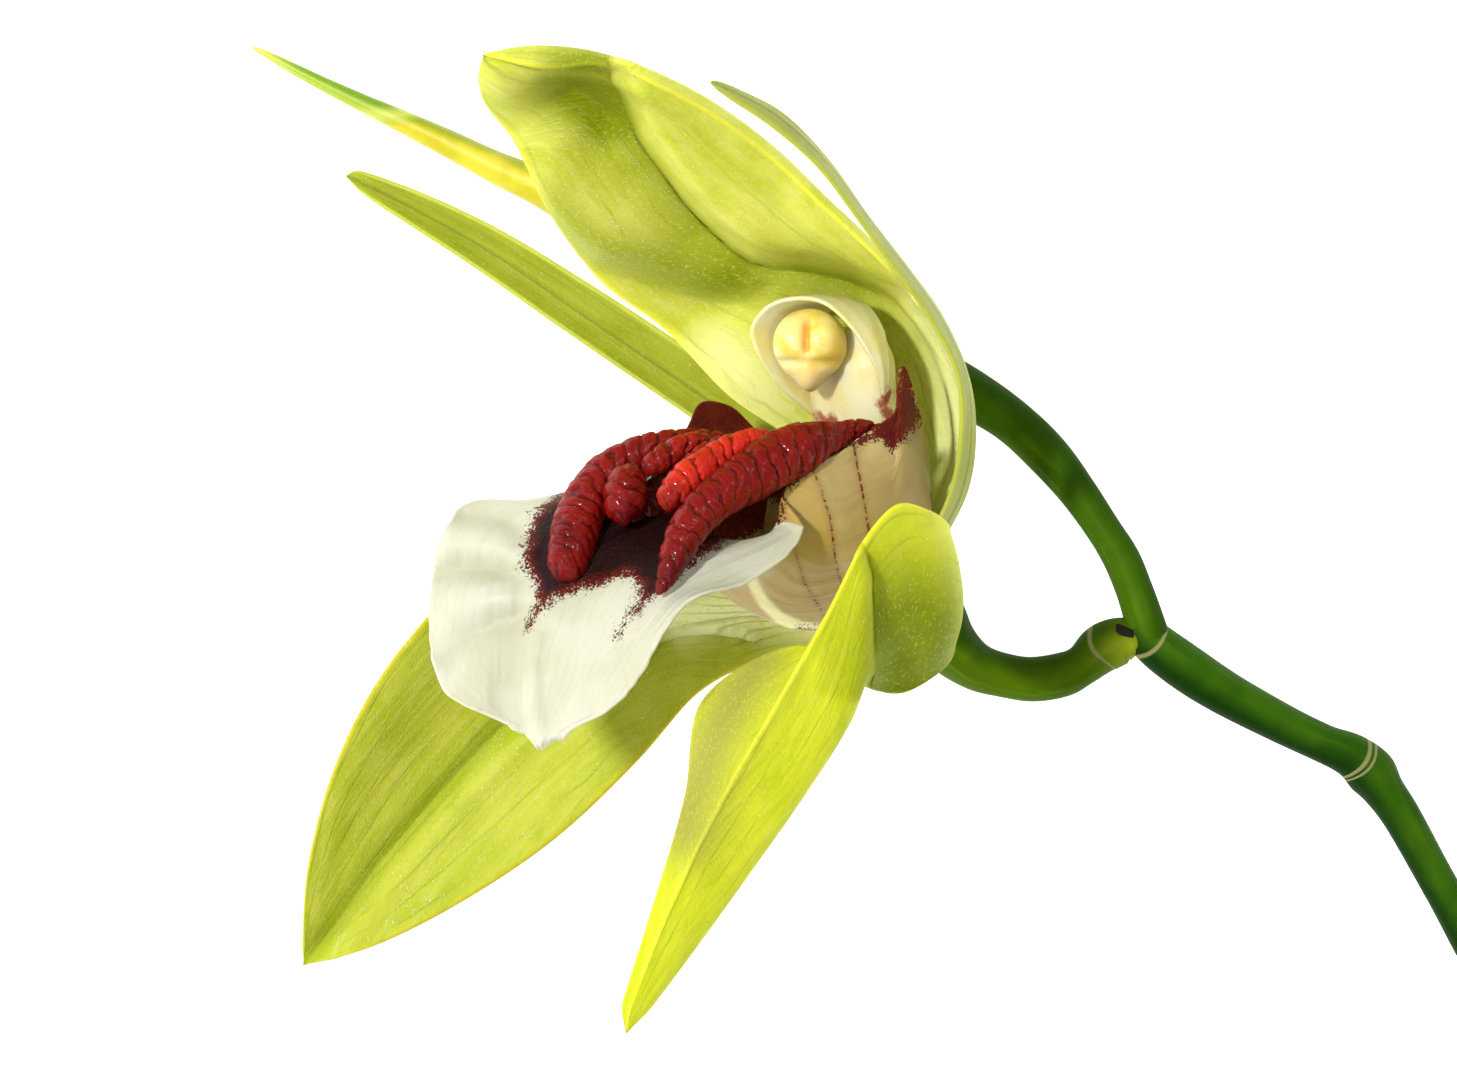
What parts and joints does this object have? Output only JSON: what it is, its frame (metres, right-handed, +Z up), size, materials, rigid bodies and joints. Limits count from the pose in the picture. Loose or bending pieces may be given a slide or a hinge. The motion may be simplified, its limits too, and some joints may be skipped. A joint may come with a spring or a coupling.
{
  "type": "cut orchid stem",
  "caption": "Cut orchid stem lying on its side: a hooded open flower with a white lip and wrinkled red crest, a slender closed bud and a zigzag stalk.",
  "frame": {"origin": "middle of the bounding box at its bottom, on the surface that the stem lies on", "axes": "+Z up from that surface, +X along the longest extent, from the bud's tip towards the stalk's cut end"},
  "size_m": [0.1244, 0.0969, 0.0345],
  "materials": {
    "stem": "satin",
    "ovary": "satin",
    "bud": "satin",
    "sepal": "satin",
    "petal": "satin",
    "lip": "satin",
    "crest": "gloss",
    "column": "satin",
    "anther": "satin"
  },
  "bodies": {
    "root": {"rachis": "stem", "bud_ovary": "stem", "flower_ovary": "ovary", "bud": "bud", "dorsal_sepal": "sepal", "sepal_far": "sepal", "sepal_near": "sepal", "petal_far": "petal", "petal_near": "petal", "lip": "lip", "lip_crest": "crest", "column": "column", "anther_cap": "anther"}
  },
  "joints": []
}
